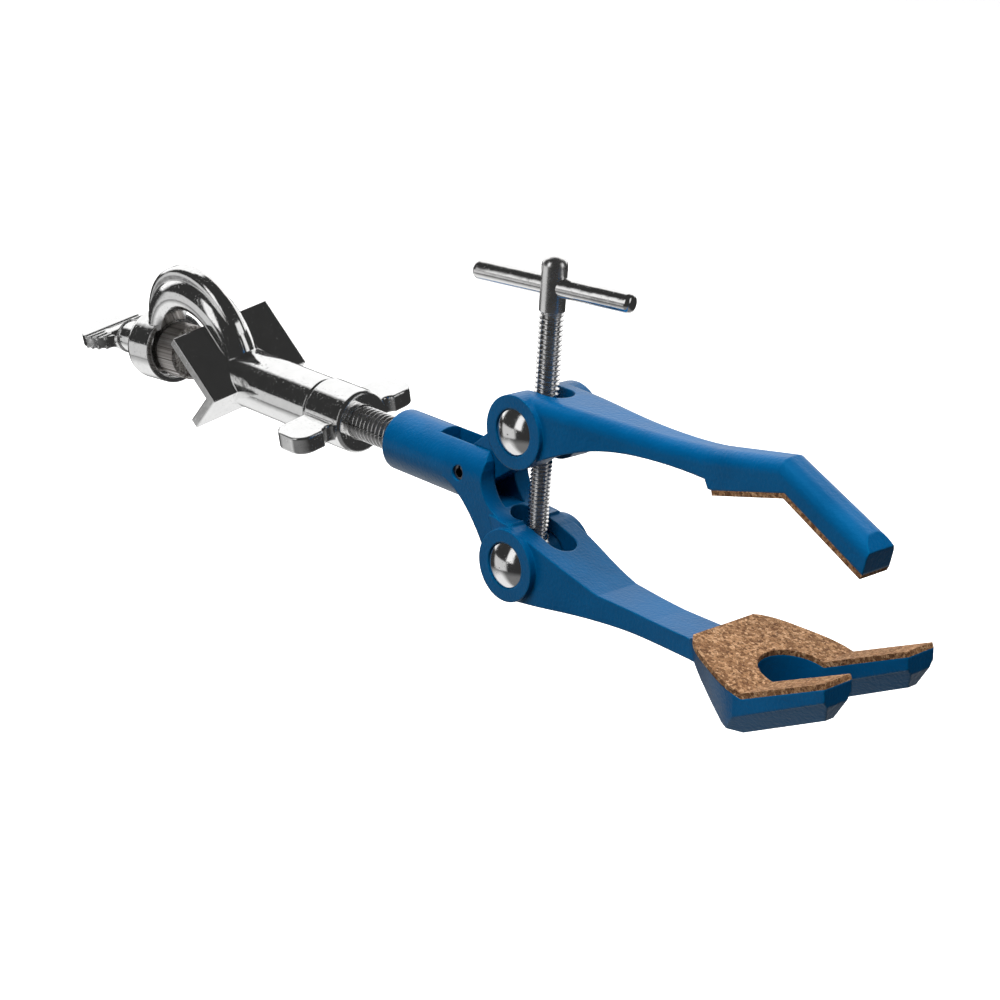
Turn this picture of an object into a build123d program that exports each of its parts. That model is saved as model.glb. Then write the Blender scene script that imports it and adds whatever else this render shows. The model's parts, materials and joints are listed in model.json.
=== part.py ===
from build123d import *
from math import atan2, cos, degrees, radians, sin
import os

os.makedirs("parts", exist_ok=True)

# Three finger laboratory clamp with a hook connector for a support rod.
# Frame: origin on the axis of a half inch support rod seated in the vee,
# +X along the clamp to the finger tips, +Z up along the T-screw at rest. All in mm.

# --- hook connector --------------------------------------------------------------
HEAD_ROLL = 11.0            # the connector stands turned this far about the clamp's axis
SEAT_X = 9.0                # inner corner of the vee, half inch rod against both walls
VEE_THICK = 2.8
VEE_HALF_LENGTH = 16.6
VEE_UPPER_REACH = 15.5      # height of the upper wall's edge
VEE_LOWER_REACH = 11.2
BARREL_R = 8.45
BARREL_END = 43.1
BORE_BOTTOM = 18.5
RIB_HALF_WIDTH = 2.6        # thin rib along the back of the hook
BULB_R = 5.5                # thick round part around the throat
BULB_CENTRE_R = 18.0
HOOK_OUTER_R = 22.8
HOOK_CENTRE = (-14.3, 6.0)
HOOK_INNER_R = 14.8
THROAT_CENTRE = (-13.5, 2.5)
BOSS_FACE = (-27.9, 0.1)    # centre of the boss's front face, X and height
BOSS_TILT = 5.0             # the thumb screw pushes this much upward
BOSS_R = 10.4
BOSS_LENGTH = 11.5
COUNTERBORE_R = 8.7
COUNTERBORE_DEPTH = 2.5

# --- thumb screw, measured along its own axis from the boss's face ----------------
THUMB_R = 4.7625            # 3/8 inch thread
RUN = 0.05                  # running clearance on a radius
PAD_R = 8.0
ROOT_R = 5.2
PAD_BACK = 1.2
PAD_FRONT = 10.0
NECK_R = 3.0
RIVET_R = 4.2
COLLAR_START = -23.4
PADDLE_START = -23.2
PADDLE_END = -42.8
PADDLE_HALF_WIDTH = 9.8
PADDLE_HALF_THICK = 1.8
RIB_R = 0.6                 # grip ribs across the front half of the paddle
RIB_PITCH = 2.3

# --- swivel ----------------------------------------------------------------------
ROD_R = 4.7625              # 3/8 inch thread
ROD_START = 19.5
ROD_END = 91.5
NUT_START = 43.3
NUT_END = 58.3
NUT_R = 8.85
WING_REACH = 20.8
WING_LENGTH = 12.6
WING_HALF_THICK = 2.5
WING_ROLL = 12.0

# --- clamp body -------------------------------------------------------------------
SHANK_START = 75.5
SHANK_R = 8.35
PIN_X = 105.84              # roll pin, hinge of the upper jaw
PIN_Z = 0.65
PIN_R = 1.98
LINK = 28.19                # roll pin to the centre of either hub
UPPER_HUB_ANGLE = 38.1
LOWER_HUB_ANGLE = 39.9
HUB_R = 9.5
HUB_HALF_WIDTH = 10.85
SLOT_HALF = 3.5             # slot that takes the upper jaw's tang
TANG_HALF = 3.2
SLOT_REAR = 93.7
SLOT_FLOOR = -5.8
WEB_HALF = 8.35
SCREW_SLOT_LENGTH = 17.0
SCREW_SLOT_WIDTH = 8.4
LOWER_SLOT_LENGTH = 21.0
LOWER_SLOT_SHIFT = 2.3

# --- jaws -------------------------------------------------------------------------
FORK_OUTER = 20.0
FORK_INNER = 9.1
FORK_TIP_OUTER = 19.2
FORK_TIP_INNER = 10.2
NOTCH_X = 214.6
LAND_REAR = (191.4, -15.6)
LAND_BEND = (215.3, -19.7)
LAND_TIP = (238.0, -9.3)
BEVEL_WIDE = 3.1             # bevels along the lower fingers
BEVEL_TALL = 4.4
UP_REAR = (188.5, 19.3)
UP_BEND = (210.1, 24.9)
UP_TIP = (233.9, 12.7)
FINGER_HALF = 4.8
UPPER_ROUND = 3.6

# --- T-screw and trunnions, measured along the screw from the lower trunnion -------
TRUNNION_R = 6.0
TRUNNION_RIM = 10.5
TRUNNION_APEX = 12.6
SCREW_TIP = -8.5
FINE_R = 2.74               # 12-24 thread in the lower trunnion
COARSE_R = 3.175            # 1/4-20 thread in the upper trunnion
COARSE_START = 29.0
HEAD_START = 65.1
HEAD_TOP = 79.2
HEAD_R = 3.3
TBAR_HEIGHT = 71.4
TBAR_R = 2.55
TBAR_HALF_LENGTH = 22.8
TBAR_TURN = 13.3

upper_x = PIN_X + LINK * cos(radians(UPPER_HUB_ANGLE))
upper_z = PIN_Z + LINK * sin(radians(UPPER_HUB_ANGLE))
lower_x = PIN_X + LINK * cos(radians(LOWER_HUB_ANGLE))
lower_z = PIN_Z - LINK * sin(radians(LOWER_HUB_ANGLE))
screw_lean = degrees(atan2(upper_x - lower_x, upper_z - lower_z))

SIDE = Plane.XZ                                     # X right, Z up, facing -Y
HEAD_SIDE = Plane.XZ.rotated((HEAD_ROLL, 0, 0))     # the same, turned with the connector
HEAD_END = Plane.YZ.rotated((HEAD_ROLL, 0, 0))
boss_origin = HEAD_SIDE.from_local_coords((BOSS_FACE[0], BOSS_FACE[1], 0))
boss_axis = HEAD_SIDE.x_dir * cos(radians(BOSS_TILT)) + HEAD_SIDE.y_dir * sin(radians(BOSS_TILT))
BOSS = Plane(origin=boss_origin, x_dir=HEAD_SIDE.z_dir, z_dir=boss_axis)
SCREW = Plane(origin=(lower_x, 0, lower_z), x_dir=(cos(radians(screw_lean)), 0, -sin(radians(screw_lean))),
              z_dir=(sin(radians(screw_lean)), 0, cos(radians(screw_lean))))


# ================================ hook connector ===================================
vee_upper = (SEAT_X + VEE_THICK * 2 ** 0.5 - VEE_UPPER_REACH, VEE_UPPER_REACH)
vee_lower = (SEAT_X + VEE_THICK * 2 ** 0.5 - VEE_LOWER_REACH, -VEE_LOWER_REACH)
lap = VEE_THICK / 2 ** 0.5

throat = HEAD_SIDE.from_local_coords(THROAT_CENTRE)
ALONG_THROAT = Plane(origin=throat, x_dir=HEAD_SIDE.x_dir, z_dir=-HEAD_SIDE.y_dir)

with BuildPart() as hook:
    # C-shaped hook: a thin rib outside and a thick round bulb around the throat
    with BuildSketch(HEAD_SIDE):
        with Locations(HOOK_CENTRE):
            Circle(HOOK_OUTER_R)
        with Locations(THROAT_CENTRE):
            Circle(HOOK_INNER_R, mode=Mode.SUBTRACT)
    extrude(amount=RIB_HALF_WIDTH, both=True)
    rim = hook.edges().filter_by(GeomType.CIRCLE).filter_by(lambda e: abs(e.radius - HOOK_OUTER_R) < 0.01)
    fillet(rim, radius=1.9)
    with BuildSketch(ALONG_THROAT):
        with Locations((BULB_CENTRE_R, 0)):
            Circle(BULB_R)
    revolve(axis=Axis(throat, HEAD_SIDE.z_dir))
    with BuildSketch(HEAD_SIDE):
        with Locations(THROAT_CENTRE):
            Circle(HOOK_INNER_R)
        with BuildLine():
            Polyline((SEAT_X + 1.6, 0), (-2.6, 13.2), (-16, 13.2), (-16, -2), (-60, -2), (-60, -40),
                     (40, -40), (40, 0), close=True)
        make_face()
    extrude(amount=BULB_R + 2, both=True, mode=Mode.SUBTRACT)

with BuildPart() as bosshead:
    # the barrel, then the vee's space cut out of its end
    with BuildSketch(HEAD_END.offset(1.0)):
        Circle(BARREL_R)
    extrude(amount=BARREL_END - 1.0)
    chamfer(bosshead.faces().sort_by(Axis.X)[-1].edges(), length=0.5)
    with BuildSketch(HEAD_SIDE):
        with BuildLine():
            Polyline((SEAT_X, 0), (-3, 12), (-12, 12), (-12, -12), (-3, -12), close=True)
        make_face()
    extrude(amount=VEE_HALF_LENGTH, both=True, mode=Mode.SUBTRACT)
    # the vee
    with BuildSketch(HEAD_SIDE):
        with BuildLine():
            Polyline((SEAT_X, 0), (vee_upper[0] - lap, vee_upper[1] - lap), vee_upper,
                     (SEAT_X + VEE_THICK * 2 ** 0.5, 0), vee_lower, (vee_lower[0] - lap, vee_lower[1] + lap),
                     close=True)
        make_face()
    extrude(amount=VEE_HALF_LENGTH, both=True)
    add(hook.part)
    # the boss for the thumb screw, on the free end of the hook
    with BuildSketch(BOSS):
        Circle(BOSS_R)
    extrude(amount=-BOSS_LENGTH)
    back_rim = bosshead.edges().filter_by(GeomType.CIRCLE).filter_by(lambda e: abs(e.radius - BOSS_R) < 0.01)
    fillet(back_rim.sort_by(Axis.X)[0], radius=2.2)
    with BuildSketch(BOSS.offset(-COUNTERBORE_DEPTH)):
        Circle(COUNTERBORE_R)
    extrude(amount=COUNTERBORE_DEPTH + 12, mode=Mode.SUBTRACT)
    with BuildSketch(BOSS):
        Circle(THUMB_R + RUN)
    extrude(amount=-BOSS_LENGTH - 4, mode=Mode.SUBTRACT)
    # threaded bore for the swivel rod
    with BuildSketch(HEAD_END.offset(BORE_BOTTOM)):
        Circle(ROD_R + RUN)
    extrude(amount=BARREL_END - BORE_BOTTOM, mode=Mode.SUBTRACT)
bosshead.part.label = "bosshead"
export_step(bosshead.part, "parts/bosshead.step")


# ============================ thumb screw and its pad ==============================
with BuildPart() as pressure_pad:
    with BuildSketch(BOSS.offset(PAD_BACK)):
        Circle(PAD_R)
    extrude(amount=PAD_FRONT - PAD_BACK)
    chamfer(pressure_pad.faces().sort_by(Axis.X)[-1].edges(), length=0.8)
    chamfer(pressure_pad.faces().sort_by(Axis.X)[0].edges(), length=0.4)
    with BuildSketch(BOSS.offset(PAD_BACK)):
        Circle(NECK_R + RUN)
    extrude(amount=PAD_FRONT, mode=Mode.SUBTRACT)
    with BuildSketch(BOSS.offset(PAD_FRONT - 2.2)):
        Circle(RIVET_R + 0.4)
    extrude(amount=PAD_FRONT, mode=Mode.SUBTRACT)
pressure_pad.part.label = "pressure_pad"
export_step(pressure_pad.part, "parts/pressure_pad.step")

paddle_mid = (PADDLE_START + PADDLE_END) / 2

with BuildPart() as thumb_screw:
    with BuildSketch(BOSS.offset(COLLAR_START - 1.0)):
        Circle(THUMB_R)
    extrude(amount=PAD_BACK - 0.1 - COLLAR_START + 1.0)
    with BuildSketch(BOSS.offset(PAD_BACK - 0.1)):
        Circle(NECK_R)
    extrude(amount=PAD_FRONT - 2.1 - PAD_BACK + 0.2)
    with BuildSketch(BOSS.offset(PAD_FRONT - 2.05)):
        Circle(RIVET_R)
    extrude(amount=1.4)
    chamfer(thumb_screw.faces().sort_by(Axis.X)[-1].edges(), length=0.5)
    # root that stops the screw on the boss and runs out into the paddle
    with BuildSketch(BOSS.offset(COLLAR_START)):
        Circle(ROOT_R)
    with BuildSketch(BOSS.offset(paddle_mid)):
        Ellipse(ROOT_R + 2, PADDLE_HALF_THICK)
    loft()
    # flat oval paddle with four ribs across both faces
    with BuildSketch(Plane(origin=boss_origin, x_dir=boss_axis, z_dir=BOSS.y_dir)):
        with Locations((paddle_mid, 0)):
            Ellipse(paddle_mid - PADDLE_END, PADDLE_HALF_WIDTH)
    extrude(amount=PADDLE_HALF_THICK, both=True)
    for step in (-0.3, 0.7, 1.7, 2.7):
        along = step * RIB_PITCH
        reach = PADDLE_HALF_WIDTH * (1 - (along / (paddle_mid - PADDLE_END)) ** 2) ** 0.5 + 0.1
        with BuildSketch(Plane(origin=boss_origin, x_dir=boss_axis, z_dir=BOSS.x_dir)):
            for side in (1, -1):
                with Locations((paddle_mid + along, side * (PADDLE_HALF_THICK - 0.2))):
                    Circle(RIB_R)
        extrude(amount=reach, both=True)
thumb_screw.part.label = "thumb_screw"
export_step(thumb_screw.part, "parts/thumb_screw.step")


# ============================ swivel rod and wing nut ==============================
with BuildPart() as swivel_rod:
    with BuildSketch(Plane.YZ.offset(ROD_START)):
        Circle(ROD_R)
    extrude(amount=ROD_END - ROD_START)
    chamfer(swivel_rod.edges(), length=0.8)
swivel_rod.part.label = "swivel_rod"
export_step(swivel_rod.part, "parts/swivel_rod.step")

with BuildPart() as wing_nut:
    with BuildSketch(Plane.XY.rotated((WING_ROLL, 0, 0))):
        with Locations((NUT_START + 7.4, 0)):
            RectangleRounded(WING_LENGTH, 2 * WING_REACH, 4.6)
        for side in (1, -1):
            with Locations((NUT_START + 7.4 + WING_LENGTH / 2 + 1.2, side * (NUT_R + 1.6))):
                Circle(2.6, mode=Mode.SUBTRACT)
    extrude(amount=WING_HALF_THICK, both=True)
    fillet(wing_nut.edges().filter_by(lambda e: e.length > 2 * WING_HALF_THICK + 0.1), radius=0.5)
    with BuildSketch(Plane.YZ.offset(NUT_START)):
        Circle(NUT_R)
    extrude(amount=NUT_END - NUT_START)
    rims = wing_nut.edges().filter_by(GeomType.CIRCLE).filter_by(lambda e: abs(e.radius - NUT_R) < 0.01)
    chamfer(rims.filter_by(lambda e: e.length > NUT_R * 5), length=0.7)
    with BuildSketch(Plane.YZ.offset(NUT_START)):
        Circle(ROD_R + RUN)
    extrude(amount=NUT_END - NUT_START, mode=Mode.SUBTRACT)
wing_nut.part.label = "wing_nut"
export_step(wing_nut.part, "parts/wing_nut.step")


# ============================ clamp body with lower jaw ============================
def fork_outline(grow):
    """Plan of the two-finger fork, as a closed line seen from above."""
    with BuildLine() as line:
        for s in (1, -1):
            Line((LAND_REAR[0] - grow, 0), (LAND_REAR[0] - grow, s * (10.2 - 0.7 * grow)))
            Spline((LAND_REAR[0] - grow, s * (10.2 - 0.7 * grow)), (202.4, s * 17.2), (213.0, s * FORK_OUTER),
                   tangents=((0.62, s * 1.0), (1.0, s * 0.05)))
            Line((213.0, s * FORK_OUTER), (LAND_TIP[0] + 6, s * FORK_TIP_OUTER))
            Line((LAND_TIP[0] + 6, s * FORK_TIP_OUTER), (LAND_TIP[0] + 6, s * FORK_TIP_INNER))
            Line((LAND_TIP[0] + 6, s * FORK_TIP_INNER), (NOTCH_X, s * FORK_INNER))
            ThreePointArc((NOTCH_X, s * FORK_INNER), (NOTCH_X - FORK_INNER * cos(radians(45)),
                          s * FORK_INNER * sin(radians(45))), (NOTCH_X - FORK_INNER, 0))
    return line


with BuildPart() as lower_fork:
    with BuildSketch(SIDE):
        with BuildLine():
            Polyline((186.5, -18.2), LAND_REAR, LAND_BEND, LAND_TIP, (238.3, -13.8), (236.6, -18.2),
                     (214.4, -29.2), (207.5, -29.2), (198.0, -25.6), (186.5, -23.2), close=True)
        make_face()
    extrude(amount=FORK_OUTER + 1, both=True)
    with BuildSketch(Plane.XY.offset(-60)):
        add(fork_outline(5.0).line)
        make_face()
    extrude(amount=100, mode=Mode.INTERSECT)
    # the back of the fork flares out of the arm and narrows downwards
    for level, widths in ((-6.0, (9.2, 11.9, 19.7)), (-29.2, (3.2, 7.0, 13.9))):
        with BuildSketch(Plane.XY.offset(level)):
            with BuildLine():
                for s in (1, -1):
                    Line((186.6, 0), (186.6, s * widths[0]))
                    Spline((186.6, s * widths[0]), (191.4, s * widths[1]), (202.4, s * widths[2]),
                           (213.5, s * (FORK_OUTER + 0.1)))
                    Line((213.5, s * (FORK_OUTER + 0.1)), (250.0, s * (FORK_OUTER + 0.6)))
                Line((250.0, FORK_OUTER + 0.6), (250.0, -FORK_OUTER - 0.6))
            make_face()
    loft(mode=Mode.INTERSECT)
    # bevels under both sides of each finger, fading out behind the bend
    for s in (1, -1):
        for y_bend, y_tip, inward in ((FORK_OUTER, FORK_TIP_OUTER, -1), (FORK_INNER, FORK_TIP_INNER, 1)):
            along = Vector(236.6 - 214.4, s * (y_tip - y_bend), 11.0)
            across = Vector(0, s * inward, 0)
            bevel = Plane(origin=(214.4, s * y_bend, -29.2), x_dir=across, z_dir=along)
            lift = 1 if bevel.y_dir.Z > 0 else -1
            with BuildSketch(bevel.offset(-12)):
                with BuildLine():
                    Polyline((-2, -4 * lift), (BEVEL_WIDE, -4 * lift), (BEVEL_WIDE, 0), (0, BEVEL_TALL * lift),
                             (-2, BEVEL_TALL * lift), close=True)
                make_face()
            extrude(amount=45, mode=Mode.SUBTRACT)

with BuildPart() as lower_jaw:
    # round shank
    with BuildSketch(Plane.YZ.offset(SHANK_START)):
        Circle(SHANK_R)
    extrude(amount=118 - SHANK_START)
    chamfer(lower_jaw.faces().sort_by(Axis.X)[0].edges(), length=0.7)
    # web down to the lower hub
    with BuildSketch(SIDE):
        with BuildLine():
            Line((100, 0), (100, -2.0))
            Spline((100, -2.0), (105.3, -4.1), (110.9, -8.9), (114.6, -13.4),
                   (lower_x - HUB_R, lower_z - 1.5))
            Polyline((lower_x - HUB_R, lower_z - 1.5), (lower_x, lower_z), (lower_x, -8.0), (122, 0),
                     (100, 0))
        make_face()
    extrude(amount=WEB_HALF, both=True)
    # lower hub
    with BuildSketch(SIDE):
        with Locations((lower_x, lower_z)):
            Circle(HUB_R)
    extrude(amount=HUB_HALF_WIDTH, both=True)
    # arm out to the fork
    with BuildSketch(SIDE):
        with BuildLine():
            Spline((118.5, -6.9), (124.8, -7.2), (131.5, -8.8), (139.8, -11.6), (149.0, -14.8),
                   (156.6, -17.0))
            Polyline((156.6, -17.0), (174.0, -18.0), (189.5, -18.2), (189.5, -23.4), (171.0, -23.2))
            Spline((171.0, -23.2), (157.0, -23.7), (142.0, -25.2), (lower_x + 1.0, lower_z - 9.35))
            Line((lower_x + 1.0, lower_z - 9.35), (118.5, -6.9))
        make_face()
    arm = extrude(amount=9.2, both=True, mode=Mode.PRIVATE)
    with BuildSketch(Plane.XY.offset(-60)):
        with BuildLine():
            for s in (1, -1):
                Line((116.0, s * WEB_HALF), (lower_x - 4.0, s * 9.2))
                Spline((lower_x - 4.0, s * 9.2), (140.0, s * 8.7), (148.0, s * 7.7), (156.6, s * 6.9),
                       (172.0, s * 6.0), (183.0, s * 6.2), (191.4, s * 6.8), tangents=((1, 0), (1, s * 0.15)))
            Line((116.0, WEB_HALF), (116.0, -WEB_HALF))
            Line((191.4, 6.8), (191.4, -6.8))
        make_face()
    plan = extrude(amount=100, mode=Mode.PRIVATE)
    add(arm & plan)
    add(lower_fork.part)
    # scallop in front of the shank, then the slot for the tang
    with BuildSketch(SIDE):
        with Locations((124.3, 2.6)):
            Circle(9.8)
        with BuildLine():
            Polyline((111.6, 9.0), (114.2, 5.4), (114.6, 2.6), (124.3, 2.6), (124.3, 30), (111.6, 30),
                     close=True)
        make_face()
    extrude(amount=14, both=True, mode=Mode.SUBTRACT)
    with Locations((SLOT_REAR, 0, SLOT_FLOOR)):
        Box(30, 2 * SLOT_HALF, 30, align=(Align.MIN, Align.CENTER, Align.MIN), mode=Mode.SUBTRACT)
    # bores: swivel rod, roll pin, trunnion, and the slot the T-screw swings in
    with BuildSketch(Plane.YZ.offset(SHANK_START)):
        Circle(ROD_R + RUN)
    extrude(amount=ROD_END + RUN - SHANK_START, mode=Mode.SUBTRACT)
    with BuildSketch(SIDE):
        with Locations((PIN_X, PIN_Z)):
            Circle(PIN_R)
    extrude(amount=SHANK_R + 2, both=True, mode=Mode.SUBTRACT)
    with BuildSketch(SIDE):
        with Locations((lower_x, lower_z)):
            Circle(TRUNNION_R + RUN)
    extrude(amount=HUB_HALF_WIDTH + 1, both=True, mode=Mode.SUBTRACT)
    with BuildSketch(Plane(origin=(lower_x + LOWER_SLOT_SHIFT, 0, lower_z))):
        SlotOverall(LOWER_SLOT_LENGTH, SCREW_SLOT_WIDTH)
    extrude(amount=14, both=True, mode=Mode.SUBTRACT)
lower_jaw.part.label = "lower_jaw"
export_step(lower_jaw.part, "parts/lower_jaw.step")

with BuildPart() as lower_cork:
    with BuildSketch(SIDE):
        with BuildLine():
            Polyline(LAND_REAR, LAND_BEND, LAND_TIP, (LAND_TIP[0] - 0.54, LAND_TIP[1] + 1.18),
                     (LAND_BEND[0] - 0.15, LAND_BEND[1] + 1.34), (LAND_REAR[0] + 0.22, LAND_REAR[1] + 1.28),
                     close=True)
        make_face()
    extrude(amount=FORK_OUTER + 1, both=True)
    with BuildSketch(Plane.XY.offset(-60)):
        add(fork_outline(0.0).line)
        make_face()
    extrude(amount=100, mode=Mode.INTERSECT)
lower_cork.part.label = "lower_cork_pad"
export_step(lower_cork.part, "parts/lower_cork_pad.step")

with BuildPart() as roll_pin:
    with BuildSketch(SIDE):
        with Locations((PIN_X, PIN_Z)):
            Circle(PIN_R)
            Circle(PIN_R - 0.75, mode=Mode.SUBTRACT)
            Rectangle(0.7, 5, align=(Align.CENTER, Align.MIN), mode=Mode.SUBTRACT)
    extrude(amount=7.7, both=True)
roll_pin.part.label = "roll_pin"
export_step(roll_pin.part, "parts/roll_pin.step")


# ==================================== upper jaw ====================================
with BuildPart() as upper_jaw:
    # arm, land and finger: side view cut to the plan view
    with BuildSketch(SIDE):
        with BuildLine():
            Spline((upper_x, upper_z + HUB_R), (150.0, 27.4), (170.0, 27.4), (187.0, 28.6),
                   tangents=((1, 0), (1, 0.12)))
            Polyline((187.0, 28.6), (208.2, 32.3), (232.3, 21.2), (234.9, 18.0), UP_TIP, UP_BEND, UP_REAR,
                     (187.4, 19.3), (186.2, 21.4))
            Spline((186.2, 21.4), (169.3, 21.6), (151.5, 19.0), (138.0, 13.5), (upper_x + 1.0, upper_z - 9.4))
            Line((upper_x + 1.0, upper_z - 9.4), (upper_x, upper_z + HUB_R))
        make_face()
    extrude(amount=10.0, both=True)
    with BuildSketch(Plane.XY.offset(-10)):
        with BuildLine():
            for s in (1, -1):
                Spline((upper_x, s * 10.0), (140.0, s * 9.3), (156.6, s * 7.0), (174.0, s * 5.4),
                       (188.0, s * FINGER_HALF), tangents=((1, 0), (1, 0)))
                Line((188.0, s * FINGER_HALF), (245.0, s * FINGER_HALF))
            Line((upper_x, 10.0), (upper_x, -10.0))
            Line((245.0, FINGER_HALF), (245.0, -FINGER_HALF))
        make_face()
    extrude(amount=60, mode=Mode.INTERSECT)
    tops = upper_jaw.faces().filter_by(lambda f: f.normal_at().Z > 0.7 and f.center().X > 195).edges()
    tops = tops.filter_by(lambda e: abs(e.tangent_at(0.5).Y) < 0.5)
    fillet(tops, radius=UPPER_ROUND)
    # hub and tang
    with BuildSketch(SIDE):
        with Locations((upper_x, upper_z)):
            Circle(HUB_R)
    extrude(amount=HUB_HALF_WIDTH, both=True)
    with BuildSketch(SIDE):
        with Locations((PIN_X, PIN_Z)):
            Circle(5.2)
        with Locations((upper_x, upper_z)):
            Circle(6.5)
        make_hull()
    extrude(amount=TANG_HALF, both=True)
    # bores: roll pin, trunnion, and the slot the T-screw swings in
    with BuildSketch(SIDE):
        with Locations((PIN_X, PIN_Z)):
            Circle(PIN_R + RUN)
        with Locations((upper_x, upper_z)):
            Circle(TRUNNION_R + RUN)
    extrude(amount=HUB_HALF_WIDTH + 1, both=True, mode=Mode.SUBTRACT)
    with BuildSketch(Plane(origin=(upper_x, 0, upper_z))):
        SlotOverall(SCREW_SLOT_LENGTH, SCREW_SLOT_WIDTH)
    extrude(amount=18, both=True, mode=Mode.SUBTRACT)
upper_jaw.part.label = "upper_jaw"
export_step(upper_jaw.part, "parts/upper_jaw.step")

with BuildPart() as upper_cork:
    with BuildSketch(SIDE):
        with BuildLine():
            Polyline(UP_REAR, UP_BEND, UP_TIP, (UP_TIP[0] - 0.59, UP_TIP[1] - 1.16),
                     (UP_BEND[0] - 0.15, UP_BEND[1] - 1.37), (UP_REAR[0] + 0.32, UP_REAR[1] - 1.26), close=True)
        make_face()
    extrude(amount=FINGER_HALF, both=True)
upper_cork.part.label = "upper_cork_pad"
export_step(upper_cork.part, "parts/upper_cork_pad.step")


# ========================== trunnions, T-screw and T-bar ===========================
def trunnion(x, z, hole_r):
    """Round cross nut with domed ends, drilled for the T-screw."""
    cap = TRUNNION_APEX - TRUNNION_RIM
    dome_r = (TRUNNION_R ** 2 + cap ** 2) / (2 * cap)
    half = radians(degrees(atan2(TRUNNION_R, dome_r - cap)) / 2)
    with BuildPart() as body:
        with BuildSketch(Plane(origin=(x, 0, z))):
            with BuildLine():
                for s in (1, -1):
                    Line((TRUNNION_R, 0), (TRUNNION_R, s * TRUNNION_RIM))
                    ThreePointArc((TRUNNION_R, s * TRUNNION_RIM),
                                  (dome_r * sin(half), s * (TRUNNION_APEX - dome_r + dome_r * cos(half))),
                                  (0, s * TRUNNION_APEX))
                    Line((0, s * TRUNNION_APEX), (0, 0))
            make_face()
        revolve(axis=Axis((x, 0, z), (0, 1, 0)))
        with BuildSketch(Plane(origin=(x, 0, z), x_dir=SCREW.x_dir, z_dir=SCREW.z_dir)):
            Circle(hole_r)
        extrude(amount=TRUNNION_R + 1, both=True, mode=Mode.SUBTRACT)
    return body


lower_trunnion = trunnion(lower_x, lower_z, FINE_R + RUN)
lower_trunnion.part.label = "lower_trunnion"
export_step(lower_trunnion.part, "parts/lower_trunnion.step")

upper_trunnion = trunnion(upper_x, upper_z, COARSE_R + 0.38)
upper_trunnion.part.label = "upper_trunnion"
export_step(upper_trunnion.part, "parts/upper_trunnion.step")

TBAR = Plane(origin=SCREW.from_local_coords((0, 0, TBAR_HEIGHT)),
             x_dir=SCREW.z_dir, z_dir=SCREW.x_dir * cos(radians(TBAR_TURN)) + SCREW.y_dir * sin(radians(TBAR_TURN)))

with BuildPart() as t_screw:
    with BuildSketch(SCREW.offset(SCREW_TIP)):
        Circle(FINE_R)
    extrude(amount=COARSE_START - SCREW_TIP)
    chamfer(t_screw.faces().sort_by(Axis.Z)[0].edges(), length=0.6)
    with BuildSketch(SCREW.offset(COARSE_START)):
        Circle(COARSE_R)
    extrude(amount=HEAD_START - COARSE_START)
    with BuildSketch(SCREW.offset(HEAD_START)):
        Circle(HEAD_R)
    extrude(amount=HEAD_TOP - HEAD_START)
    fillet(t_screw.faces().sort_by(Axis.Z)[-1].edges(), radius=1.6)
    with BuildSketch(TBAR):
        Circle(TBAR_R)
    extrude(amount=HEAD_R + 1, both=True, mode=Mode.SUBTRACT)
t_screw.part.label = "t_screw"
export_step(t_screw.part, "parts/t_screw.step")

with BuildPart() as t_bar:
    with BuildSketch(TBAR):
        Circle(TBAR_R)
    extrude(amount=TBAR_HALF_LENGTH, both=True)
    fillet(t_bar.edges().filter_by(GeomType.CIRCLE), radius=1.3)
t_bar.part.label = "t_bar"
export_step(t_bar.part, "parts/t_bar.step")
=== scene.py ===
"""Three finger clamp: looks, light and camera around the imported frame."""

import json
from math import cos, pi, radians, sin

import bmesh
import bpy
from mathutils import Matrix, Vector


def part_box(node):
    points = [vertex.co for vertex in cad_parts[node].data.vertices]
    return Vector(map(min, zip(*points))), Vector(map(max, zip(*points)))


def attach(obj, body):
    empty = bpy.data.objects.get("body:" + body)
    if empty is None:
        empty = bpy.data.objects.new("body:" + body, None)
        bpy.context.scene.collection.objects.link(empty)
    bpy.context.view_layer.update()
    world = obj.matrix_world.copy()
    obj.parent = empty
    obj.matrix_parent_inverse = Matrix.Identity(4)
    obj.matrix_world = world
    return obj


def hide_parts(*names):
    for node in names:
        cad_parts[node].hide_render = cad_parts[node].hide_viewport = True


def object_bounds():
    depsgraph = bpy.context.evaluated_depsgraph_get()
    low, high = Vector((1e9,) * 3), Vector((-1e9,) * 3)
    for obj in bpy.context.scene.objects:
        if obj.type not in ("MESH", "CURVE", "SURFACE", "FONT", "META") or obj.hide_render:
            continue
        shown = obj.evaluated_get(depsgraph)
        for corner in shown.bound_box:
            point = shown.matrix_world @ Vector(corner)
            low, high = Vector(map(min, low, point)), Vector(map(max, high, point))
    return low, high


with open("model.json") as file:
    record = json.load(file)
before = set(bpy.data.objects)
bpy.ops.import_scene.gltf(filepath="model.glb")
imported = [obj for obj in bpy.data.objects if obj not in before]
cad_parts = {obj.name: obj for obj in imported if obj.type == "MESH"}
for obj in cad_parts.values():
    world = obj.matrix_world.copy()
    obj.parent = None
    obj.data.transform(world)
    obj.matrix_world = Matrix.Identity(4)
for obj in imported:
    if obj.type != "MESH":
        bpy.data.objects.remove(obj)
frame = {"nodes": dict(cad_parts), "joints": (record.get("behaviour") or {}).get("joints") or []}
cad_low, cad_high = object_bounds()
scene = bpy.context.scene
nodes = frame["nodes"]
joints = {j["name"]: j for j in frame["joints"]}
MM = 0.001

# ------------------------------------------------------------------ sizes, in mm
THREAD_SEGMENTS = 64
COARSE_PITCH = 1.27          # 1/4-20, left hand
FINE_PITCH = 1.058           # 12-24
ROD_PITCH = 1.5875           # 3/8-16
COARSE_R, FINE_R, ROD_R = 3.175, 2.74, 4.7625
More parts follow.
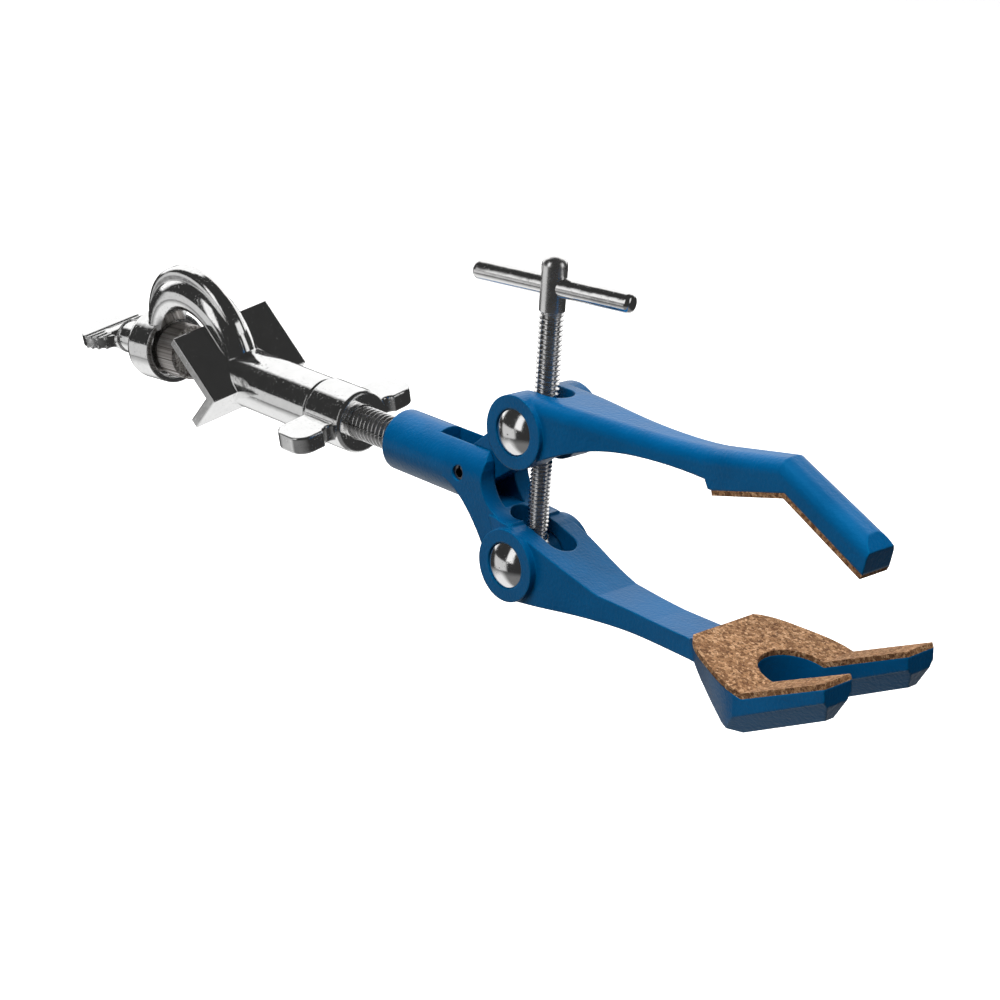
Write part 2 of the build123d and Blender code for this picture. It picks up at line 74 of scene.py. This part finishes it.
# along the T-screw, from its joint
SCREW_TIP, COARSE_START, HEAD_START, HEAD_TOP = -8.5, 29.0, 65.1, 79.2
HEAD_R = 3.3
HEAD_DOME = 2.6
GRANULES_PER_M = 1350.0      # cork granules in a row of one metre
FLOOR_HALF_SIZE = 15.0       # metres
FLOOR_DROP = 0.12            # metres; the clamp hangs on its support rod
CAMERA_AT = (532.1, -402.9, 202.4)
CAMERA_AZIMUTH, CAMERA_ELEVATION, CAMERA_ROLL = 46.1, 19.75, 2.8
CAMERA_LENS, CAMERA_SENSOR = 86.4, 36.0


# ------------------------------------------------------------------ shader tools
def new_material(name):
    material = bpy.data.materials.new(name)
    material.use_nodes = True
    tree = material.node_tree
    tree.nodes.clear()
    shader = tree.nodes.new("ShaderNodeBsdfPrincipled")
    output = tree.nodes.new("ShaderNodeOutputMaterial")
    tree.links.new(shader.outputs["BSDF"], output.inputs["Surface"])
    return material, tree, shader


def node(tree, kind, inputs=(), **settings):
    """A node with its settings and inputs; an input that is a socket gets linked."""
    made = tree.nodes.new("ShaderNode" + kind)
    for key, value in settings.items():
        setattr(made, key, value)
    for key, value in dict(inputs).items():
        if isinstance(value, bpy.types.NodeSocket):
            tree.links.new(value, made.inputs[key])
        else:
            made.inputs[key].default_value = value
    return made


def place(tree):
    return node(tree, "TexCoord").outputs["Object"]


def noise(tree, size_mm, detail=3.0, roughness=0.55, vector=None):
    """Noise whose blobs are about size_mm across."""
    where = vector or place(tree)
    inputs = {"Vector": where, "Scale": 1000.0 / size_mm, "Detail": detail, "Roughness": roughness}
    return node(tree, "TexNoise", inputs).outputs["Fac"]


def ramp(tree, value, stops, interpolation="LINEAR"):
    made = node(tree, "ValToRGB", {"Fac": value})
    made.color_ramp.interpolation = interpolation
    while len(made.color_ramp.elements) < len(stops):
        made.color_ramp.elements.new(0.5)
    for element, (position, colour) in zip(made.color_ramp.elements, stops):
        element.position = position
        element.color = (*colour, 1.0) if len(colour) == 3 else colour
    return made.outputs["Color"]


def grey(value):
    return (value, value, value)


def remap(tree, value, low, high, to_low, to_high):
    inputs = {"Value": value, "From Min": low, "From Max": high, "To Min": to_low, "To Max": to_high}
    return node(tree, "MapRange", inputs, clamp=True).outputs["Result"]


def math(tree, operation, a, b=0.0):
    return node(tree, "Math", {0: a, 1: b}, operation=operation).outputs["Value"]


def mix(tree, factor, a, b, blend="MIX"):
    made = tree.nodes.new("ShaderNodeMix")
    made.data_type = "RGBA"
    made.blend_type = blend
    for key, value in (("Factor_Float", factor), ("A_Color", a), ("B_Color", b)):
        socket = next(s for s in made.inputs if s.identifier == key)
        if isinstance(value, bpy.types.NodeSocket):
            tree.links.new(value, socket)
        elif key == "Factor_Float":
            socket.default_value = value
        else:
            socket.default_value = (*value, 1.0)
    return next(s for s in made.outputs if s.identifier == "Result_Color")


def bump(tree, height, distance_mm, strength=1.0, normal=None):
    inputs = {"Height": height, "Distance": distance_mm * MM, "Strength": strength}
    if normal is not None:
        inputs["Normal"] = normal
    return node(tree, "Bump", inputs).outputs["Normal"]


def rounded(tree, radius_mm):
    return node(tree, "Bevel", {"Radius": radius_mm * MM}, samples=6).outputs["Normal"]


def edge_mask(tree, radius_mm, low, high):
    """1 on outer and inner edges within about radius_mm, 0 on open faces."""
    soft = rounded(tree, radius_mm)
    flat = node(tree, "NewGeometry").outputs["Normal"]
    dot = node(tree, "VectorMath", {0: soft, 1: flat}, operation="DOT_PRODUCT").outputs["Value"]
    return remap(tree, dot, high, low, 0.0, 1.0)


# -------------------------------------------------------------------- materials
def blue_powder_coat():
    material, tree, shader = new_material("blue_powder_coat")
    broad = noise(tree, 14.0, 2.0)
    peel = noise(tree, 0.85, 2.0, 0.5)
    grain = noise(tree, 0.28, 1.0)
    colour = ramp(tree, broad, ((0.3, (0.0, 0.062, 0.175)), (0.7, (0.0, 0.082, 0.225))))
    speck = ramp(tree, noise(tree, 0.5, 3.0), ((0.66, grey(0.0)), (0.74, grey(1.0))))
    colour = mix(tree, math(tree, "MULTIPLY", speck, 0.12), colour, (0.0, 0.15, 0.34))
    # lighter blue along every edge: partly rubbed coat, partly a painted highlight standing in for sheen on
    # the rims
    wear_and_edge_sheen = edge_mask(tree, 0.55, 0.90, 0.995)
    wear_and_edge_sheen = math(tree, "MULTIPLY", wear_and_edge_sheen, remap(tree, noise(tree, 3.0), 0.35, 0.65, 0.05, 0.55))
    colour = mix(tree, wear_and_edge_sheen, colour, (0.0, 0.15, 0.33))
    shader.inputs["Specular IOR Level"].default_value = 0.34
    shader.inputs["Specular Tint"].default_value = (0.12, 0.62, 1.0, 1.0)
    tree.links.new(colour, shader.inputs["Base Color"])
    tree.links.new(remap(tree, broad, 0.3, 0.7, 0.27, 0.36), shader.inputs["Roughness"])
    normal = bump(tree, peel, 0.11, 1.0, rounded(tree, 0.7))
    tree.links.new(bump(tree, grain, 0.008, 1.0, normal), shader.inputs["Normal"])
    return material


def metal(name, colour, roughness, pit_depth, wave_depth, round_mm, dull=None, pit_size=0.6):
    """Plated or bare metal: slow waves of the surface, small pits and a little haze."""
    material, tree, shader = new_material(name)
    wave = noise(tree, 7.0, 2.0)
    pits = ramp(tree, noise(tree, pit_size, 2.0), ((0.62, grey(1.0)), (0.74, grey(0.0))))
    haze = noise(tree, 4.0, 4.0)
    base = ramp(tree, haze, ((0.3, tuple(c * 0.93 for c in colour)), (0.7, colour)))
    if dull is not None:
        base = mix(tree, remap(tree, noise(tree, 2.2, 5.0), 0.45, 0.7, 0.0, 0.8), base, dull)
    shader.inputs["Metallic"].default_value = 1.0
    tree.links.new(base, shader.inputs["Base Color"])
    tree.links.new(remap(tree, haze, 0.3, 0.7, roughness, roughness * 1.7), shader.inputs["Roughness"])
    normal = bump(tree, wave, wave_depth, 1.0, rounded(tree, round_mm))
    tree.links.new(bump(tree, pits, pit_depth, 1.0, normal), shader.inputs["Normal"])
    return material


def turned_steel(axis):
    """Plain steel with chatter marks that run along its axis."""
    material, tree, shader = new_material("turned_steel")
    where = place(tree)
    along = node(tree, "VectorMath", {0: where, 1: tuple(axis)}, operation="DOT_PRODUCT").outputs["Value"]
    flat = node(tree, "VectorMath", {0: tuple(axis), "Scale": along}, operation="SCALE").outputs["Vector"]
    across = node(tree, "VectorMath", {0: where, 1: flat}, operation="SUBTRACT").outputs["Vector"]
    streaks = noise(tree, 0.6, 4.0, 0.7, across)
    base = ramp(tree, streaks, ((0.35, (0.10, 0.085, 0.075)), (0.5, (0.42, 0.39, 0.37)),
                                (0.68, (0.78, 0.77, 0.76))))
    shader.inputs["Metallic"].default_value = 1.0
    tree.links.new(base, shader.inputs["Base Color"])
    tree.links.new(remap(tree, streaks, 0.3, 0.7, 0.6, 0.4), shader.inputs["Roughness"])
    tree.links.new(bump(tree, streaks, 0.10, 1.0, rounded(tree, 0.3)), shader.inputs["Normal"])
    return material


def cork():
    material, tree, shader = new_material("cork")
    where = place(tree)
    warp = node(tree, "TexNoise", {"Vector": where, "Scale": 900.0, "Detail": 2.0}).outputs["Color"]
    shift = node(tree, "VectorMath", {0: warp, "Scale": 0.0006}, operation="SCALE").outputs["Vector"]
    bent = node(tree, "VectorMath", {0: where, 1: shift}, operation="ADD").outputs["Vector"]
    cells = {"Vector": bent, "Scale": GRANULES_PER_M}
    granule = node(tree, "TexVoronoi", cells | {"Randomness": 1.0})
    tone = node(tree, "SeparateColor", {"Color": granule.outputs["Color"]}).outputs["Red"]
    base = ramp(tree, tone, ((0.0, (0.11, 0.056, 0.028)), (0.3, (0.22, 0.122, 0.063)),
                             (0.65, (0.32, 0.19, 0.103)), (1.0, (0.47, 0.31, 0.19))))
    fine = noise(tree, 0.35, 4.0, 0.7)
    mottle = ramp(tree, fine, ((0.3, (0.22, 0.17, 0.12)), (0.7, (0.78, 0.66, 0.52))))
    base = mix(tree, 0.5, base, mottle, "OVERLAY")
    seam = node(tree, "TexVoronoi", cells, feature="DISTANCE_TO_EDGE").outputs["Distance"]
    base = mix(tree, remap(tree, seam, 0.0, 0.10, 0.6, 0.0), base, (0.09, 0.045, 0.024))
    specks = ramp(tree, noise(tree, 0.6, 3.0, 0.6), ((0.56, grey(0.0)), (0.61, grey(1.0))))
    base = mix(tree, math(tree, "MULTIPLY", specks, 0.85), base, (0.055, 0.024, 0.012))
    shader.inputs["Specular IOR Level"].default_value = 0.25
    tree.links.new(base, shader.inputs["Base Color"])
    tree.links.new(remap(tree, fine, 0.3, 0.7, 0.75, 0.95), shader.inputs["Roughness"])
    normal = bump(tree, seam, 0.12, 0.8)
    tree.links.new(bump(tree, fine, 0.10, 0.8, normal), shader.inputs["Normal"])
    return material


def floor_paint():
    material, tree, shader = new_material("floor_paint")
    base = ramp(tree, noise(tree, 60.0, 2.0), ((0.3, grey(0.90)), (0.7, grey(0.92))))
    tree.links.new(base, shader.inputs["Base Color"])
    shader.inputs["Roughness"].default_value = 0.7
    shader.inputs["Specular IOR Level"].default_value = 0.2
    shader.inputs["Emission Color"].default_value = (1.0, 1.0, 0.995, 1.0)
    shader.inputs["Emission Strength"].default_value = 0.55
    return material


thumb_axis = Vector(joints["thumb_screw_turn"]["axis"])
chrome = metal("chromed_casting", (0.88, 0.88, 0.875), 0.06, 0.02, 0.09, 0.6)
plated = metal("plated_steel", (0.88, 0.875, 0.87), 0.09, 0.010, 0.10, 0.3)
# threads: the same plating as plated_steel, rougher, with a lighter base colour that is a painted highlight
# so the threads read as lit
threaded = metal("plated_thread_painted_lighter", (0.95, 0.945, 0.94), 0.20, 0.008, 0.03, 0.1)
spring = metal("spring_steel", (0.17, 0.17, 0.18), 0.30, 0.006, 0.01, 0.15)
steel = turned_steel(thumb_axis)
powder = blue_powder_coat()
cork_board = cork()


# --------------------------------------------------------------------- meshes
def finish_piece(bm, name, body, material, replaced, smooth_deg=32):
    bmesh.ops.remove_doubles(bm, verts=bm.verts, dist=0.5e-6)
    bmesh.ops.dissolve_degenerate(bm, edges=bm.edges, dist=0.5e-6)
    bmesh.ops.recalc_face_normals(bm, faces=bm.faces)
    mesh = bpy.data.meshes.new(name)
    bm.to_mesh(mesh)
    bm.free()
    mesh.materials.append(material)
    mesh.shade_smooth()
    mesh.set_sharp_from_angle(angle=radians(smooth_deg))
    piece = bpy.data.objects.new(name, mesh)
    scene.collection.objects.link(piece)
    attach(piece, body)
    if replaced:
        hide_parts(replaced)


def axes_of(axis):
    """Two directions square to axis, and axis itself."""
    z = Vector(axis).normalized()
    x = Vector((0, -1, 0)) if abs(z.y) < 0.9 else Vector((1, 0, 0))
    x = (x - z * x.dot(z)).normalized()
    return x, z.cross(x), z


def lathe(bm, origin, axis, profile, segments=THREAD_SEGMENTS):
    """Turns (along, radius) points in mm about the axis; ends at radius 0 close it."""
    x, y, z = axes_of(axis)
    rings = []
    for along, radius in profile:
        ring = []
        for i in range(segments):
            a = 2 * pi * i / segments
            ring.append(bm.verts.new(Vector(origin) + (z * along + (x * cos(a) + y * sin(a)) * radius) * MM))
        rings.append(ring)
    for low, high in zip(rings, rings[1:]):
        for i in range(segments):
            j = (i + 1) % segments
            bm.faces.new((low[i], low[j], high[j], high[i]))


def thread(bm, origin, axis, start, end, radius, pitch, hand, start_taper=True, end_taper=True):
    """A helical thread of round crests and narrow roots between start and end, in mm along the axis."""
    depth = 0.56 * pitch
    shape = ((0.0, 0.0), (0.10, 0.0), (0.20, 0.13), (0.46, 0.93), (0.52, 1.0), (0.60, 1.0), (0.66, 0.93),
             (0.92, 0.13))
    x, y, z = axes_of(axis)
    turns = int((end - start) / pitch) + 3
    columns = []
    for i in range(THREAD_SEGMENTS):
        a = 2 * pi * i / THREAD_SEGMENTS
        out = x * cos(a) + y * sin(a)
        column = []
        for k in range(-2, turns):
            for share, sunk in shape:
                along = start + (k + share + hand * i / THREAD_SEGMENTS) * pitch
                clipped = min(max(along, start), end)
                r = radius - depth * sunk
                near = min(clipped - start if start_taper else 1e9, end - clipped if end_taper else 1e9)
                r = min(r, radius - depth * 1.1 + near)
                column.append(bm.verts.new(Vector(origin) + (z * clipped + out * r) * MM))
        columns.append(column)
    per_turn = len(shape)
    # Known fault: the step has the wrong sign, so the last column joins the first two pitches off.
    for i in range(THREAD_SEGMENTS):
        j = (i + 1) % THREAD_SEGMENTS
        step = 0 if j else hand * per_turn
        for k in range(len(columns[0]) - 1):
            m = k - step
            if 0 <= m < len(columns[0]) - 1:
                bm.faces.new((columns[i][k], columns[j][m], columns[j][m + 1], columns[i][k + 1]))
    for side in (0, -1):
        at = start if side == 0 else end
        centre = bm.verts.new(Vector(origin) + z * at * MM)
        ring = [column[side] for column in columns]
        for i in range(THREAD_SEGMENTS):
            bm.faces.new((centre, ring[i], ring[(i + 1) % THREAD_SEGMENTS]))


def build_t_screw():
    joint = joints["t_screw_turn"]
    origin, axis = joint["pos_m"], joint["axis"]
    bm = bmesh.new()
    thread(bm, origin, axis, SCREW_TIP, COARSE_START, FINE_R, FINE_PITCH, 1, end_taper=False)
    thread(bm, origin, axis, COARSE_START, HEAD_START, COARSE_R, COARSE_PITCH, -1)
    profile = [(HEAD_START - 0.2, 0.0), (HEAD_START - 0.2, HEAD_R - 0.3), (HEAD_START + 0.1, HEAD_R)]
    for i in range(9):
        a = radians(90 * i / 8)
        profile.append((HEAD_TOP - HEAD_DOME + HEAD_DOME * sin(a), HEAD_R * cos(a) ** 0.8 if i < 8 else 0.0))
    lathe(bm, origin, axis, profile)
    finish_piece(bm, "t_screw_threaded", "t_screw", threaded, "t_screw", 40)


def build_rod():
    low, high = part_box("swivel_rod")
    bm = bmesh.new()
    thread(bm, (0, 0, 0), (1, 0, 0), low.x / MM, high.x / MM, ROD_R, ROD_PITCH, 1)
    finish_piece(bm, "swivel_rod_threaded", "clamp_body", threaded, "swivel_rod", 40)


build_t_screw()
build_rod()

for name, material in (("bosshead", chrome), ("wing_nut", chrome), ("thumb_screw", chrome),
                       ("pressure_pad", steel), ("t_bar", plated), ("roll_pin", spring),
                       ("lower_trunnion", plated), ("upper_trunnion", plated),
                       ("lower_jaw", powder), ("upper_jaw", powder),
                       ("lower_cork_pad", cork_board), ("upper_cork_pad", cork_board)):
    nodes[name].data.materials.clear()
    nodes[name].data.materials.append(material)


# --------------------------------------------------------------- floor and light
def build_floor():
    level = cad_low.z - FLOOR_DROP
    bm = bmesh.new()
    bmesh.ops.create_grid(bm, x_segments=8, y_segments=8, size=FLOOR_HALF_SIZE)
    mesh = bpy.data.meshes.new("floor")
    bm.to_mesh(mesh)
    bm.free()
    mesh.materials.append(floor_paint())
    floor = bpy.data.objects.new("floor", mesh)
    floor.location = (0, 0, level)
    scene.collection.objects.link(floor)
    floor.visible_glossy = False
    floor.visible_diffuse = False


def build_world():
    """A white room with a dark side towards the camera and dark bands that give the plating its contrast."""
    world = bpy.data.worlds.new("studio")
    scene.world = world
    world.use_nodes = True
    tree = world.node_tree
    tree.nodes.clear()
    direction = node(tree, "TexCoord").outputs["Generated"]
    split = node(tree, "SeparateXYZ", {"Vector": direction}).outputs
    height = split["Z"]
    azimuth = math(tree, "ARCTAN2", split["Y"], split["X"])

    def panel(centre_deg, half_deg, soft_deg, low, high, soft):
        turn = math(tree, "SUBTRACT", azimuth, radians(centre_deg))
        wrapped = node(tree, "Math", {0: turn, 1: pi, 2: -pi}, operation="WRAP").outputs["Value"]
        away = math(tree, "ABSOLUTE", wrapped)
        side = remap(tree, away, radians(half_deg), radians(half_deg + soft_deg), 1.0, 0.0)
        up = remap(tree, height, low - soft, low, 0.0, 1.0)
        down = remap(tree, height, high, high + soft, 1.0, 0.0)
        return math(tree, "MULTIPLY", side, math(tree, "MULTIPLY", up, down))

    back = panel(138, 52, 8, 0.02, 0.80, 0.05)
    right = panel(28, 9, 4, -0.02, 0.50, 0.04)
    left = panel(-98, 10, 4, 0.02, 0.6, 0.05)
    low_line = panel(-133, 22, 8, -0.42, -0.06, 0.03)
    far_side = panel(160, 62, 25, -1.0, 1.0, 0.1)
    table = remap(tree, height, -0.62, -0.42, 1.0, 0.0)
    table = math(tree, "MULTIPLY", table, math(tree, "ADD", 0.16, math(tree, "MULTIPLY", far_side, 0.72)))
    total = math(tree, "MULTIPLY", back, 1.12)
    for light, strength in ((right, 0.9), (left, 1.0), (low_line, 0.62)):
        total = math(tree, "ADD", total, math(tree, "MULTIPLY", light, strength))
    total = math(tree, "ADD", total, table)
    total = math(tree, "ADD", total, 0.035)
    background = node(tree, "Background", {"Color": total, "Strength": 1.0})
    output = node(tree, "OutputWorld")
    tree.links.new(background.outputs["Background"], output.inputs["Surface"])


def area_light(name, azimuth, elevation, distance, size, power, glossy=True):
    target = (cad_low + cad_high) / 2
    a, e = radians(azimuth), radians(elevation)
    direction = Vector((sin(a) * cos(e), -cos(a) * cos(e), sin(e)))
    data = bpy.data.lights.new(name, "AREA")
    data.shape = "RECTANGLE"
    data.size, data.size_y = size
    data.energy = power
    light = bpy.data.objects.new(name, data)
    light.location = target + direction * distance
    light.rotation_euler = direction.to_track_quat("Z", "Y").to_euler()
    light.visible_glossy = glossy
    scene.collection.objects.link(light)


def build_camera():
    azimuth, elevation, roll = radians(CAMERA_AZIMUTH), radians(CAMERA_ELEVATION), radians(CAMERA_ROLL)
    back = Vector((sin(azimuth) * cos(elevation), -cos(azimuth) * cos(elevation), sin(elevation)))
    right = Vector((0, 0, 1)).cross(back).normalized()
    up = back.cross(right)
    rolled_right = right * cos(roll) + up * sin(roll)
    rolled_up = up * cos(roll) - right * sin(roll)
    data = bpy.data.cameras.new("camera")
    data.sensor_width = CAMERA_SENSOR
    data.lens = CAMERA_LENS
    data.clip_start, data.clip_end = 0.01, 20.0
    camera = bpy.data.objects.new("camera", data)
    camera.matrix_world = Matrix.Translation(Vector(CAMERA_AT) * MM) @ Matrix(
        (rolled_right, rolled_up, back)).transposed().to_4x4()
    scene.collection.objects.link(camera)
    scene.camera = camera


build_floor()
build_world()
area_light("key", 20, 62, 1.3, (0.9, 0.9), 22.0, False)
area_light("top", 200, 75, 1.2, (1.2, 1.2), 16.0, False)
build_camera()
scene.view_settings.view_transform = "Standard"
